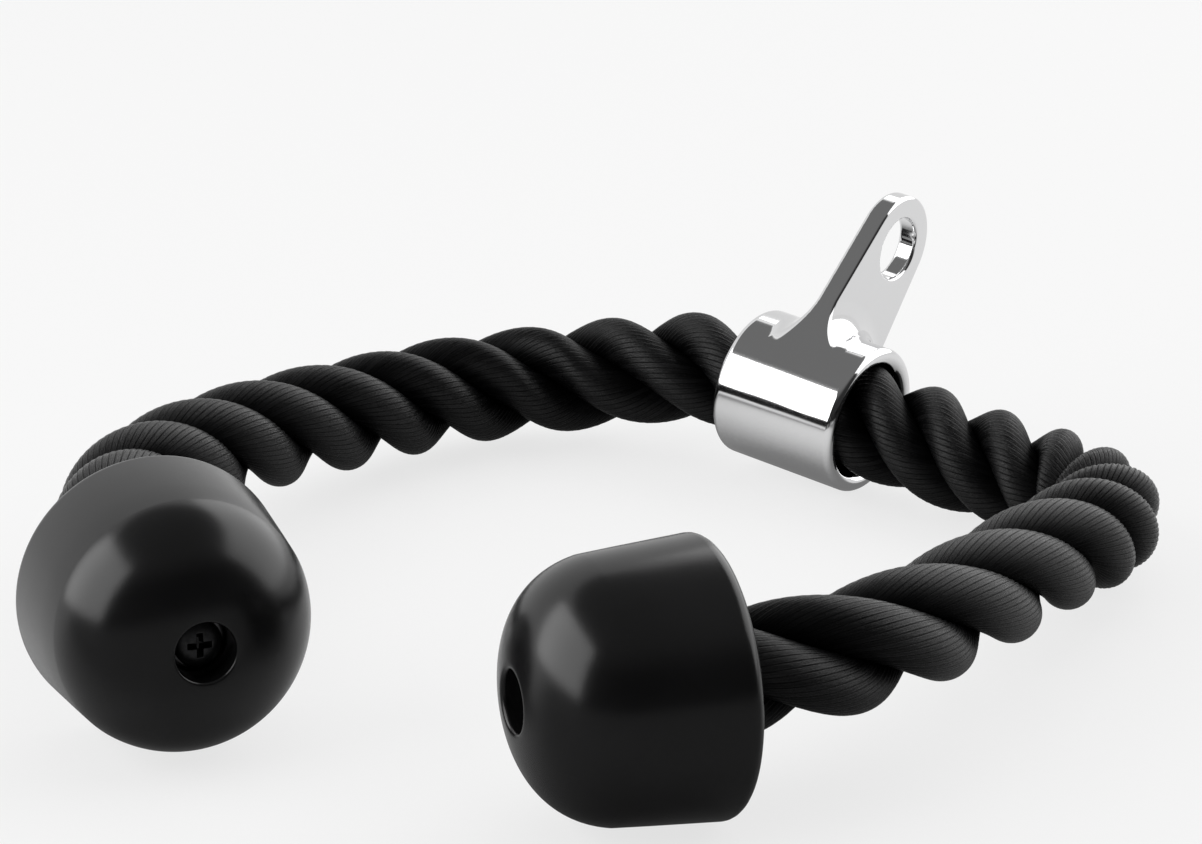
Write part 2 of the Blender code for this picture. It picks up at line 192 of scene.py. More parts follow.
class RopeSettings(bpy.types.PropertyGroup):
    diameter: length("Diameter", "Across the three strands", 0.028)
    strand_distance: length("Strand distance", "From the rope's axis to a strand's own", 0.0073)
    strand_breadth: length("Strand breadth", "Half a strand's size round the rope", 0.0073)
    yarn_turns: number("Yarn turns", "Turns back round its strand for one turn of the strand", 1.92)
    yarns: IntProperty(name="Yarns", description="Yarns on the outside of a strand", default=32, min=8)
    yarn_relief: length("Yarn relief", "Depth of the grooves between yarns", 0.00032)
    ring_gap: length("Ring gap", "Length of rope between rings of the mesh", 0.0015)
    end_depth: length("End depth", "How far the rope goes into a cap", 0.0134)
    left_turn: angle("Left turn", "Start of the strands on the left", -0.85)
    right_turn: angle("Right turn", "Start of the strands on the right", 0.2)
    dark: colour("Dark yarn", "Colour of the darkest yarns", (0.002, 0.002, 0.0022))
    light: colour("Light yarn", "Colour of the lightest yarns", (0.009, 0.009, 0.0094))


class CastingSettings(bpy.types.PropertyGroup):
    sleeve_length: length("Sleeve length", "Along the bore", 0.036)
    sleeve_radius: length("Sleeve radius", "Outside", 0.0187)
    sleeve_edge: length("Sleeve edge", "Rounding of the outer edges", 0.002)
    bore_radius: length("Bore radius", "Round the rope", 0.0145)
    bore_flare: length("Bore flare", "Rounding of the bore's mouths", 0.0025)
    tab_thickness: length("Tab thickness", "Of the flat round the eye", 0.0055)
    tab_edge: length("Tab edge", "Rounding of the tab's edges", 0.0011)
    eye_distance: length("Eye distance", "From the bore's axis to the eye's centre", 0.0448)
    eye_radius: length("Eye radius", "Of the hole", 0.008)
    eye_rim: length("Eye rim", "Metal round the hole", 0.0056)
    eye_edge: length("Eye edge", "Rounding of the hole's edges", 0.001)
    flare_height: length("Flare height", "Of the tab's spread along the sleeve", 0.0085)
    flare_spread: length("Flare spread", "Of each face, down to the sleeve", 0.008)
    fillet: length("Fillet", "Where the tab meets the sleeve", 0.0006)
    mesh_step: length("Mesh step", "Size of the casting's faces", 0.00045)
    chrome: colour("Chrome", "Colour of the plating", (0.80, 0.80, 0.805))


class CapSettings(bpy.types.PropertyGroup):
    mouth_radius: length("Mouth radius", "Of the cap's wide end", 0.031)
    shoulder_radius: length("Shoulder radius", "Where the dome starts", 0.0296)
    shoulder_distance: length("Shoulder distance", "From the mouth to the dome", 0.0193)
    cap_length: length("Length", "From the mouth to the pole", 0.0459)
    fullness: number("Fullness", "Power of the dome's outline", 2.45, min=1)
    lip: length("Lip", "Rounding of the mouth's edge", 0.003)
    bore_radius: length("Bore radius", "Round the rope", 0.0145)
    bore_edge: length("Bore edge", "Rounding of the bore's mouth", 0.001)
    bore_depth: length("Bore depth", "From the mouth", 0.029)
    web: length("Web", "Rubber under the washer", 0.0065)
    recess_radius: length("Recess radius", "Of the screw's hole", 0.00675)
    recess_edge: length("Recess edge", "Rounding of the hole's edge", 0.0009)
    recess_corner: length("Recess corner", "Rounding of the hole's floor", 0.0003)
    shoulder_rounding: length("Shoulder rounding", "Where the skirt meets the dome", 0.04)
    dish: length("Dish", "Hollow of the mouth's face", 0.0008)
    dish_inner_rim: length("Dish inner rim", "Flat between the bore and the dish", 0.0035)
    dish_outer_rim: length("Dish outer rim", "Flat between the dish and the edge", 0.0055)
    dish_slope: length("Dish slope", "Width of the dish's slopes", 0.001)
    dish_edge: length("Dish edge", "Rounding of the dish's edges", 0.0006)
    rubber: colour("Rubber", "Colour of the moulding", (0.0038, 0.0038, 0.004))


class FastenerSettings(bpy.types.PropertyGroup):
    shank_radius: length("Shank radius", "Of the screw", 0.003)
    hole_radius: length("Hole radius", "Round the screw", 0.0033)
    head_radius: length("Head radius", "Of the pan head", 0.0054)
    head_height: length("Head height", "Of the pan head", 0.0034)
    head_edge: length("Head edge", "Rounding of the head's rim", 0.0003)
    tip_edge: length("Tip edge", "Rounding of the screw's tip", 0.0002)
    cross_span: length("Cross span", "Of the driver's recess", 0.006)
    cross_width: length("Cross width", "Of an arm of the recess", 0.0014)
    cross_depth: length("Cross depth", "Of the recess", 0.0022)
    cross_taper: share("Cross taper", "What is left of the cross at its floor", 0.45)
    cross_edge: length("Cross edge", "Rounding of the recess's edges", 0.00015)
    washer_radius: length("Washer radius", "Outside", 0.00615)
    washer_thickness: length("Washer thickness", "Of the plate", 0.0012)
    washer_edge: length("Washer edge", "Rounding of the outer edges", 0.0003)
    washer_hole_edge: length("Washer hole edge", "Rounding of the hole's edges", 0.0001)
    ferrule_length: length("Ferrule length", "Of the plug in the cap's bore", 0.015)
    ferrule_radius: length("Ferrule radius", "Outside", 0.014)
    ferrule_chamfer: length("Ferrule chamfer", "Slope at both ends", 0.001)
    ferrule_edge: length("Ferrule edge", "Rounding of the slopes", 0.0004)
    ferrule_hole_edge: length("Ferrule hole edge", "Rounding of the hole's edge", 0.0003)
    ferrule_floor: length("Ferrule floor", "Metal under the tapped hole", 0.002)
    seat: length("Seat", "Gap between pieces that touch", 0.0003)
    zinc: colour("Zinc", "Colour of the plated steel", (0.45, 0.45, 0.46))
    black: colour("Black", "Colour of the blackened steel", (0.07, 0.07, 0.072))


class StageSettings(bpy.types.PropertyGroup):
    floor_size: length("Floor size", "Radius of the floor", 6.0)
    paper: colour("Paper", "Colour of the floor and backdrop", (0.93, 0.93, 0.93))
    evenness: share("Evenness", "How much of the floor's shade is even to the camera", 0.8)
    mirrored: share("Mirrored", "The floor's shade as metal and rubber mirror it", 0.82)


# Shaders


class Socket:
    """A shader socket in plain arithmetic: each sum, product or power adds a Math node."""

    def __init__(self, tree, socket):
        self.tree = tree
        self.socket = socket

    def __add__(self, other):
        return self.tree.maths("ADD", self, other)

    def __radd__(self, other):
        return self.tree.maths("ADD", other, self)

    def __sub__(self, other):
        return self.tree.maths("SUBTRACT", self, other)

    def __rsub__(self, other):
        return self.tree.maths("SUBTRACT", other, self)

    def __mul__(self, other):
        return self.tree.maths("MULTIPLY", self, other)

    def __rmul__(self, other):
        return self.tree.maths("MULTIPLY", other, self)

    def __pow__(self, other):
        return self.tree.maths("POWER", self, other)

    def __abs__(self):
        return self.tree.maths("ABSOLUTE", self)


class Shader:
    """The nodes of one material or of the world."""

    def __init__(self, owner):
        owner.use_nodes = True
        self.nodes = owner.node_tree.nodes
        self.links = owner.node_tree.links
        self.nodes.clear()

    def node(self, kind, settings=None, sockets=None, output=0):
        made = self.nodes.new(kind)
        for name, value in (settings or {}).items():
            setattr(made, name, value)
        for name, value in (sockets or {}).items():
            if isinstance(value, Socket):
                self.links.new(value.socket, made.inputs[name])
            else:
                made.inputs[name].default_value = value
        return Socket(self, made.outputs[output])

    def maths(self, operation, *values):
        return self.node("ShaderNodeMath", {"operation": operation}, dict(enumerate(values)))

    def ramp(self, value, low, high, to_low=0.0, to_high=1.0):
        sockets = {"Value": value, "From Min": low, "From Max": high, "To Min": to_low, "To Max": to_high}
        return self.node("ShaderNodeMapRange", {"interpolation_type": "SMOOTHSTEP"}, sockets)

    def mix(self, factor, first, second):
        return self.node("ShaderNodeMix", {"data_type": "RGBA"}, {0: factor, 6: first, 7: second}, 2)

    def noise(self, vector, scale, detail=2.0, roughness=0.5):
        sockets = {"Vector": vector, "Scale": scale, "Detail": detail, "Roughness": roughness}
        return self.node("ShaderNodeTexNoise", None, sockets)

    def stretched(self, vector, by):
        return self.node("ShaderNodeVectorMath", {"operation": "MULTIPLY"}, {0: vector, 1: by})

    def along(self, vector, way):
        return self.node("ShaderNodeVectorMath", {"operation": "DOT_PRODUCT"}, {0: vector, 1: way}, "Value")

    def place(self):
        return self.node("ShaderNodeAttribute", {"attribute_name": "own_place"}, None, "Vector")

    def relief(self, height, distance):
        return self.node("ShaderNodeBump", None, {"Height": height, "Distance": distance})

    def principled(self, sockets):
        return self.node("ShaderNodeBsdfPrincipled", None, sockets)

    def blend(self, factor, first, second):
        return self.node("ShaderNodeMixShader", None, {0: factor, 1: first, 2: second})

    def output(self, surface, kind="ShaderNodeOutputMaterial"):
        self.links.new(surface.socket, self.nodes.new(kind).inputs["Surface"])


def solid(value):
    return (*value, 1.0)


def finish(name, draw, settings):
    made = bpy.data.materials.new(name)
    shader = Shader(made)
    shader.output(draw(shader, settings))
    return made


def chrome(shader, settings):
    place = shader.place()
    ripple = shader.noise(place, 55.0, 1.0)
    haze = shader.noise(place, 220.0, 3.0, 0.6)
    rubbed = shader.noise(shader.stretched(place, (300.0, 2600.0, 2600.0)), 1.0, 2.0)
    shade = shader.ramp(haze, 0.35, 0.75, 0.0, 0.06)
    dull = [0.9 * value for value in settings.chrome]
    return shader.principled({
        "Base Color": shader.mix(shade, solid(settings.chrome), solid(dull)),
        "Metallic": 1.0,
        "Roughness": 0.045 + 0.035 * haze + 0.03 * rubbed,
        "Normal": shader.relief(ripple, 0.00002),
    })


def laid_yarn(shader, settings):
    lay = shader.node("ShaderNodeUVMap", {"uv_map": "lay"})
    across = shader.node("ShaderNodeSeparateXYZ", None, {0: lay}, "X")
    crown = shader.node("ShaderNodeAttribute", {"attribute_name": "crown"}, None, "Fac")
    own = shader.maths("FRACT", across)
    edge = abs(own * 2.0 - 1.0)
    groove = edge ** 5.0
    yarn_number = shader.maths("FLOOR", across)
    tone = shader.node("ShaderNodeTexWhiteNoise", {"noise_dimensions": "1D"}, {"W": yarn_number})
    fibres = shader.noise(shader.stretched(lay, (7.0, 0.30, 1.0)), 1.0, 3.0, 0.65)
    patches = shader.noise(shader.stretched(lay, (0.35, 0.06, 1.0)), 1.0, 2.0)
    light = shader.ramp(0.45 * tone + 0.35 * fibres + 0.4 * patches, 0.25, 0.95)
    yarn = shader.mix(light, solid(settings.dark), solid(settings.light))
    # Painted shade: the yarn colour goes near black in the grooves between yarns and low between the
    # strands, where shade falls
    painted_groove_shade = shader.maths("MAXIMUM", groove * 0.75, shader.ramp(crown, 0.55, 0.0, 0.0, 0.8))
    height = (1.0 - edge * edge) * 0.6 + fibres * 0.4
    look = {
        "Base Color": shader.mix(painted_groove_shade, yarn, GROOVE_SHADE_PAINT),
        "Roughness": 0.2 + 0.16 * fibres,
        "Normal": shader.relief(height, 0.00045),
    }
    # Lit and shaded copies of the yarn: the glossy copy on the crowns, the matt copy in the grooves and low
    # flanks as painted shade
    groove_shaded_copy = shader.principled({**look, "Specular IOR Level": 0.02})
    crown_lit_copy = shader.principled({**look, "Specular IOR Level": 0.28})
    lit_crown_share = shader.ramp(crown, 0.35, 1.0) * (1.0 - groove)
    return shader.blend(lit_crown_share, groove_shaded_copy, crown_lit_copy)


def moulded_rubber(shader, settings):
    place = shader.place()
    grain = shader.noise(place, 2600.0, 2.0, 0.6)
    flow = shader.noise(place, 60.0, 3.0)
    worn = shader.noise(place, 260.0, 4.0, 0.6)
    bloom = shader.ramp(flow, 0.3, 0.8, 0.0, 0.5)
    lighter = [2.0 * value for value in settings.rubber]
    return shader.principled({
        "Base Color": shader.mix(bloom, solid(settings.rubber), solid(lighter)),
        "Roughness": 0.19 + 0.05 * worn + 0.03 * grain,
        "Normal": shader.relief(grain + 0.6 * flow, 0.00001),
    })


def turned_steel(shader, tint):
    place = shader.place()
    rings = shader.noise(shader.stretched(place, (9000.0, 500.0, 500.0)), 1.0, 2.0)
    spots = shader.noise(place, 900.0, 3.0, 0.6)
    darker = [0.7 * value for value in tint]
    return shader.principled({
        "Base Color": shader.mix(shader.ramp(spots, 0.4, 0.7), solid(tint), solid(darker)),
        "Metallic": 1.0,
        "Roughness": 0.24 + 0.15 * spots + 0.08 * rings,
        "Normal": shader.relief(rings, 0.00001),
    })


def zinc_plate(shader, settings):
    return turned_steel(shader, settings.zinc)


def black_steel(shader, settings):
    return turned_steel(shader, settings.black)


# Meshes


def mesh_piece(name, points, faces, material, place=None):
    data = bpy.data.meshes.new(name)
    data.from_pydata(points.tolist(), [], faces)
    data.materials.append(material)
    data.shade_smooth()
    own = data.attributes.new("own_place", "FLOAT_VECTOR", "POINT")
    own.data.foreach_set("vector", points.astype(np.float32).ravel())
    if place is not None:
        data.transform(place)
    made = bpy.data.objects.new(name, data)
    bpy.context.scene.collection.objects.link(made)
    return made


def rounded_outline(corners, steps=6):
    """Closed outline of corners (along, radius, rounding), each with its own rounding."""
    outline = []
    count = len(corners)
    for i, (along, radius, rounding) in enumerate(corners):
        here = np.array((along, radius))
        if not rounding:
            outline.append(here)
            continue
        before = np.array(corners[i - 1][:2]) - here
        after = np.array(corners[(i + 1) % count][:2]) - here
        before /= np.linalg.norm(before)
        after /= np.linalg.norm(after)
        half = math.acos(np.clip(before @ after, -1, 1)) / 2
        middle = before + after
        centre = here + middle / np.linalg.norm(middle) * rounding / math.sin(half)
        first = here + before * rounding / math.tan(half) - centre
        last = here + after * rounding / math.tan(half) - centre
        turn = math.pi - 2 * half
        for step in range(steps + 1):
            share_of_turn = step / steps
            a = math.sin((1 - share_of_turn) * turn) / math.sin(turn)
            b = math.sin(share_of_turn * turn) / math.sin(turn)
            outline.append(centre + a * first + b * last)
    return np.array(outline)


def turned_piece(name, outline, sides, material, place):
    """The closed outline (along X, radius) turned about X. Points on the axis are kept single."""
    angles = np.arange(sides) * 2 * math.pi / sides
    points, rings = [], []
    for along, radius in outline:
        if radius < AXIS_RADIUS:
            rings.append([len(points)] * sides)
            points.append((along, 0.0, 0.0))
        else:
            rings.append(list(range(len(points), len(points) + sides)))
            points += [(along, radius * math.cos(a), radius * math.sin(a)) for a in angles]
    faces = []
    for low, high in zip(rings, rings[1:] + rings[:1]):
        for i in range(sides):
            j = (i + 1) % sides
            corners = [low[i], low[j], high[j], high[i]]
            single = list(dict.fromkeys(corners))
            if len(single) > 2:
                faces.append(single)
    made = mesh_piece(name, np.array(points), faces, material, place)
    outward(made)
    return made


def outward(made):
    """Turns a closed piece's faces outwards if its volume comes out negative."""
    data = made.data
    data.calc_loop_triangles()
    corners = np.array([[data.vertices[i].co for i in t.vertices] for t in data.loop_triangles])
    if np.einsum("ij,ij->", corners[:, 0], np.cross(corners[:, 1], corners[:, 2])) < 0:
        data.flip_normals()


def rounded_meet(first, second, rounding):
    """Distance inside both of two distances, with the edge where they meet rounded."""
    a, b = first + rounding, second + rounding
    outside = np.hypot(np.maximum(a, 0), np.maximum(b, 0))
    return outside + np.minimum(np.maximum(a, b), 0) - rounding


def slopes(field, points, step=1e-6):
    moves = np.eye(3) * step
    return np.stack([(field(points + m) - field(points - m)) / (2 * step) for m in moves], axis=1)


def moulded_piece(name, field, low, high, step, material, place, passes=8, smooth_passes=5):
    """A closed mesh of small even faces on the zero level of a field, with its true normals."""
    least_slope = 0.05
    axes = [np.arange(a - 2 * step, b + 3 * step, step) for a, b in zip(low, high)]
    block = np.stack(np.meshgrid(*axes, indexing="ij"), axis=-1)
    inside = field(block.reshape(-1, 3)).reshape(block.shape[:3]) < 0
    span = [n - 1 for n in inside.shape]
    filled = np.zeros(span, int)
    for corner in np.ndindex(2, 2, 2):
        filled += inside[tuple(slice(c, c + n) for c, n in zip(corner, span))]
    crossed = (filled > 0) & (filled < 8)
    index = np.full(span, -1)
    index[crossed] = np.arange(crossed.sum())
    points = np.argwhere(crossed) * step + [a[0] + step / 2 for a in axes]
    unit = np.eye(3, dtype=int)
    faces = []
    for axis in range(3):
        aside, above = unit[(axis + 1) % 3], unit[(axis + 2) % 3]
        first = inside[tuple(slice(0, n + (k != axis)) for k, n in enumerate(span))]
        second = inside[tuple(slice(int(k == axis), n + 1) for k, n in enumerate(span))]
        edges = np.argwhere(first != second)
        round_edge = (edges - aside - above, edges - above, edges, edges - aside)
        quads = np.stack([index[tuple(at.T)] for at in round_edge], axis=1)
        inward = ~first[tuple(edges.T)]
        quads[inward] = quads[inward, ::-1]
        faces.append(quads)
    faces = np.concatenate(faces)
    for settle in range(passes):
        if settle < smooth_passes:
            total, count = np.zeros_like(points), np.zeros(len(points))
            for a, b in ((0, 1), (1, 2), (2, 3), (3, 0)):
                np.add.at(total, faces[:, a], points[faces[:, b]])
                np.add.at(total, faces[:, b], points[faces[:, a]])
                np.add.at(count, faces[:, a], 1)
                np.add.at(count, faces[:, b], 1)
            points = total / count[:, None]
        slope = slopes(field, points)
        shift = field(points) / np.maximum((slope**2).sum(axis=1), least_slope)
        points = points - slope * np.clip(shift, -step, step)[:, None]
    made = mesh_piece(name, points, faces.tolist(), material, place)
    slope = slopes(field, points) @ np.array(place.to_3x3()).T
    made.data.normals_split_custom_set_from_vertices(slope / np.linalg.norm(slope, axis=1)[:, None])
    return made


# Places


def sleeve_frame():
    turn = Matrix.Rotation(SLEEVE_TILT, 4, "Y") @ Matrix.Rotation(-TAB_LEAN, 4, "X")
    return Matrix.Translation(SLEEVE_PLACE) @ turn


def cap_frame(side):
    place, azimuth = CAP_PLACES[side]
    return Matrix.Translation(place) @ Matrix.Rotation(azimuth, 4, "Z")


# Rope


def smooth_route(points, first_way, last_way, steps=24):
    """A smooth curve through the points that leaves and arrives along the given ways."""
    points = np.array(points, float)
    gaps = np.linalg.norm(np.diff(points, axis=0), axis=1)
    ways = [np.array(first_way)]
    for i in range(1, len(points) - 1):
        before = (points[i] - points[i - 1]) / gaps[i - 1]
        after = (points[i + 1] - points[i]) / gaps[i]
        ways.append((before * gaps[i] + after * gaps[i - 1]) / (gaps[i - 1] + gaps[i]))
    ways.append(np.array(last_way))
    curve = []
    for i, gap in enumerate(gaps):
        for t in np.arange(steps) / steps:
            curve.append(
                points[i] * (2 * t**3 - 3 * t**2 + 1)
                + ways[i] * gap * (t**3 - 2 * t**2 + t)
                + points[i + 1] * (3 * t**2 - 2 * t**3)
                + ways[i + 1] * gap * (t**3 - t**2)
            )
    return curve + [points[-1]]


def even_route(curve, gap):
    """The curve's points at even lengths, and those lengths."""
    curve = np.array(curve)
    lengths = np.concatenate([[0], np.cumsum(np.linalg.norm(np.diff(curve, axis=0), axis=1))])
    marks = np.linspace(0, lengths[-1], round(lengths[-1] / gap) + 1)
    return np.stack([np.interp(marks, lengths, curve[:, i]) for i in range(3)], axis=1), marks


def half_route(side, rope, sleeve_length):
    """From the middle of the sleeve, out of its mouth and into the side's cap."""
    sleeve, cap = sleeve_frame(), cap_frame(side)
    out = np.array(sleeve.to_3x3() @ Vector((SIDES[side], 0, 0)))
    into = np.array(cap.to_3x3() @ Vector((1, 0, 0)))
    middle = np.array(sleeve.translation)
    mouth = middle + out * (sleeve_length / 2 + ROUTE_LEAD)
    route = {"left": LEFT_ROUTE, "right": RIGHT_ROUTE}[side]
    curve = smooth_route([mouth, *route, cap.translation], out, into)
    end = curve[-1] + into * rope.end_depth
    return even_route([middle, *curve, end], rope.ring_gap)


def carried_frames(points):
    """Ways along the route, and two ways across it that don't turn round it."""
    along = np.gradient(points, axis=0)
    along /= np.linalg.norm(along, axis=1)[:, None]
    across = np.zeros_like(points)
    last = np.array((0.0, 0.0, 1.0))
    for i, way in enumerate(along):
        last = last - way * (last @ way)
        last /= np.linalg.norm(last)
        across[i] = last
    return along, across, np.cross(along, across)


def rope_half(side, rope, casting, material):
    """Three strands laid right-handed, each of many yarns that run nearly along the rope."""
    points, marks = half_route(side, rope, casting.sleeve_length)
    along, across, over = carried_frames(points)
    depth = rope.diameter / 2 - rope.strand_distance
    columns = len(YARN_SHARES) * rope.yarns
    start, lay = {"left": (rope.left_turn, LEFT_LAY), "right": (rope.right_turn, RIGHT_LAY)}[side]
    tightness = 1 / np.interp(marks, *zip(*lay))
    laid = np.concatenate([[0], np.cumsum(np.diff(marks) * (tightness[1:] + tightness[:-1]) / 2)])
    vertices, faces, uvs, crowns = [], [], [], []
    lift = np.tile(YARN_SHARES, rope.yarns) * rope.yarn_relief
    for strand in range(3):
        turn = start + 2 * math.pi * (strand / 3 + laid)
        out = np.cos(turn)[:, None] * across + np.sin(turn)[:, None] * over
        aside = np.cross(along, out)
        turned_back = rope.yarn_turns * laid[:, None]
        round_strand = 2 * math.pi * (np.arange(columns)[None, :] / columns - turned_back)
        reach = rope.strand_distance + (depth + lift) * np.cos(round_strand)
        breadth = (rope.strand_breadth + lift) * np.sin(round_strand)
        surface = points[:, None] + out[:, None] * reach[..., None]
        surface = surface + aside[:, None] * breadth[..., None]
        vertices.append(surface.reshape(-1, 3))
        crowns.append(np.hypot(reach, breadth).ravel())
        base = strand * surface.shape[0] * columns
        ring, column = np.meshgrid(np.arange(len(marks) - 1), np.arange(columns), indexing="ij")
        beside = (column + 1) % columns
        here, after = ring * columns, (ring + 1) * columns
        quads = np.stack([here + column, here + beside, after + beside, after + column], axis=-1)
        faces += (quads.reshape(-1, 4) + base).tolist()
        across_yarns = np.stack([column, column + 1, column + 1, column], axis=-1) / len(YARN_SHARES)
        across_yarns = across_yarns + YARNS_APART * strand + 0.5
        near, far = marks[ring] * MILLIMETRES, marks[ring + 1] * MILLIMETRES
        down_yarns = np.stack([near, near, far, far], axis=-1)
        uvs.append(np.stack([across_yarns, down_yarns], axis=-1).reshape(-1, 2))
        first = [base + i for i in range(columns)][::-1]
        last = [base + (len(marks) - 1) * columns + i for i in range(columns)]
        faces += [first, last]
        uvs.append(np.full((2 * columns, 2), float(YARNS_APART * strand)))
    made = mesh_piece(f"rope_{side}_half", np.concatenate(vertices), faces, material)
    layer = made.data.uv_layers.new(name="lay")
    layer.data.foreach_set("uv", np.concatenate(uvs).astype(np.float32).ravel())
    # how far out from the rope's axis a point lies; the yarn shader turns low values into painted shade
    reach = np.concatenate(crowns) * 2 / rope.diameter
    crown = made.data.attributes.new("crown", "FLOAT", "POINT")
    height = (reach - CROWN_START_SHARE) / (1 - CROWN_START_SHARE)
    crown.data.foreach_set("value", np.clip(height, 0, 1).astype(np.float32))
    return made, points, marks


class LayRope(bpy.types.Operator):
    """Lays the two halves of the rope, from the sleeve into each cap"""

    bl_idname = "triceps_rope.lay_rope"
    bl_label = "Lay the rope"

    def execute(self, context):
        rope, casting = context.scene.triceps_rope, context.scene.triceps_casting
        material = finish("laid_yarn", laid_yarn, rope)
        nodes = {
            "left": ("rope_left", "rope_left_flex", "rope_middle"),
            "right": ("rope_right", "rope_right_flex", "rope_middle"),
        }
        for side, sign in SIDES.items():
            made, points, marks = rope_half(side, rope, casting, material)
            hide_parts(*nodes[side])
            points[::4].tolist() + [points[-1].tolist()]
            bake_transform(made)
        return {"FINISHED"}


# Eye sleeve


def blended_join(first, second, reach):
    """Distance to either of two forms, with a fillet where they meet."""
    near = np.maximum(reach - np.abs(first - second), 0) / reach
    return np.minimum(first, second) - near * near * reach / 4


def casting_field(size):
    """The casting as distances in its own frame: X along the bore, Z out through the eye."""
    half, radius = size.sleeve_length / 2, size.sleeve_radius
    thin, end = size.tab_thickness / 2, size.eye_radius + size.eye_rim
    lean = (radius - end) / size.eye_distance
    upright = math.sqrt(1 - lean**2)
    steepest_share = 0.998      # of the flare's quarter round, so that its slope stays finite
    foot_share = 0.9            # how much of the flare's slope is taken out of the face's distances

    def distance(points):
        x, y, z = np.abs(points[:, 0]), np.abs(points[:, 1]), points[:, 2]
        from_axis = np.hypot(y, z)
        sleeve = rounded_meet(x - half, from_axis - radius, size.sleeve_edge)
        side = y * upright + z * lean - radius
        past_foot = z * upright - y * lean
        span = size.eye_distance * upright
        outline = np.where(
            past_foot < 0,
            from_axis - radius + size.fillet,
            np.where(past_foot > span, np.hypot(y, z - size.eye_distance) - end, side),
        )
        rise = np.clip(1 - (from_axis - radius) / size.flare_height, 0, 1)
        steep = np.minimum(rise, steepest_share)
        thickness = thin + size.flare_spread * (1 - np.sqrt(1 - steep**2))
        face = (x - thickness) * np.sqrt(1 - foot_share * rise**2)
        from_eye = np.hypot(y, z - size.eye_distance)
        eye = rounded_meet(x - thickness, size.eye_radius - from_eye, size.eye_edge)
        tab = np.maximum(rounded_meet(face, np.maximum(outline, -z), size.tab_edge), eye)
        bore = rounded_meet(x - half, size.bore_radius - from_axis, size.bore_flare)
        return np.maximum(blended_join(sleeve, tab, size.fillet), bore)

    return distance


class CastEyeSleeve(bpy.types.Operator):
    """Casts the sleeve with its eye tab in one piece of chromed metal"""

    bl_idname = "triceps_rope.cast_eye_sleeve"
    bl_label = "Cast the eye sleeve"

    def execute(self, context):
        size = context.scene.triceps_casting
        half, radius = size.sleeve_length / 2, size.sleeve_radius
        top = size.eye_distance + size.eye_radius + size.eye_rim
        made = moulded_piece(
            "chromed_eye_sleeve",
            casting_field(size),
            (-half, -radius, -radius),
            (half, radius, top),
            size.mesh_step,
            finish("polished_chrome", chrome, size),
            sleeve_frame(),
        )
        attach(made, "eye")
        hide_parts("eye_sleeve")
        return {"FINISHED"}


# Bell caps


def cap_outline(size, fasteners, first_step=12, dome_steps=72):
    """The cap's half section, from the bore's mouth round the outside to the screw's hole."""
    mouth, shoulder = size.mouth_radius, size.shoulder_radius
    bore, hole = size.bore_radius, fasteners.hole_radius
    dome = size.cap_length - size.shoulder_distance
    bend = 2 / size.fullness
    rim = size.recess_radius + size.recess_edge
    inner = bore + size.dish_inner_rim
    outer = mouth - size.dish_outer_rim
    corners = [
        (size.bore_depth, bore, 0),
        (0, bore, size.bore_edge),
        (0, inner, size.dish_edge),
        (size.dish, inner + size.dish_slope, size.dish_edge),
        (size.dish, outer - size.dish_slope, size.dish_edge),
        (0, outer, size.dish_edge),
        (0, mouth, size.lip),
        (size.shoulder_distance, shoulder, size.shoulder_rounding),
    ]
    last = math.acos((rim / shoulder) ** (1 / bend))
    for step in range(first_step, dome_steps + 1):
        angle = last * step / dome_steps
        along = size.shoulder_distance + dome * math.sin(angle) ** bend
        corners.append((along, shoulder * math.cos(angle) ** bend, 0))
    edge = corners[-1][0]
    floor = size.bore_depth + size.web
    corners[-1] = (edge, size.recess_radius, size.recess_edge)
    corners += [
        (floor, size.recess_radius, size.recess_corner),
        (floor, hole, 0),
        (size.bore_depth, hole, 0),
    ]
    return rounded_outline(corners)


class MouldCaps(bpy.types.Operator):
    """Moulds the two rubber bell caps"""

    bl_idname = "triceps_rope.mould_caps"
    bl_label = "Mould the caps"

    def execute(self, context):
        size, fasteners = context.scene.triceps_caps, context.scene.triceps_fasteners
        material = finish("moulded_rubber", moulded_rubber, size)
        outline = cap_outline(size, fasteners)
        for side in SIDES:
            made = turned_piece(f"{side}_bell_cap", outline, CAP_SIDES, material, cap_frame(side))
            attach(made, f"{side}_tail")
            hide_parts(f"{side}_cap")
        return {"FINISHED"}


# Screws, washers and ferrules


def screw_field(size, seat, tip):
    """A pan-head screw with a cross recess, X out of the head."""
    crown = size.head_height / 2
    top = seat + size.head_height

    def distance(points):
        x, y, z = points[:, 0], np.abs(points[:, 1]), np.abs(points[:, 2])
        from_axis = np.hypot(y, z)
        past = np.maximum(x - seat - crown, 0) / crown
        pan = (np.hypot(from_axis / size.head_radius, past) - 1) * crown
        head = rounded_meet(pan, seat - x, size.head_edge)
        past_ends = np.maximum(tip - x, x - seat - crown)
        shank = rounded_meet(from_axis - size.shank_radius, past_ends, size.tip_edge)
        narrowing = 1 - (1 - size.cross_taper) * np.clip((top - x) / size.cross_depth, 0, 1)
        arm, half = size.cross_span / 2 * narrowing, size.cross_width / 2 * narrowing
        cross = np.minimum(np.maximum(y - arm, z - half), np.maximum(z - arm, y - half))
        recess = np.maximum(cross, top - size.cross_depth - x)
        return rounded_meet(np.minimum(head, shank), -recess, size.cross_edge)

    return distance


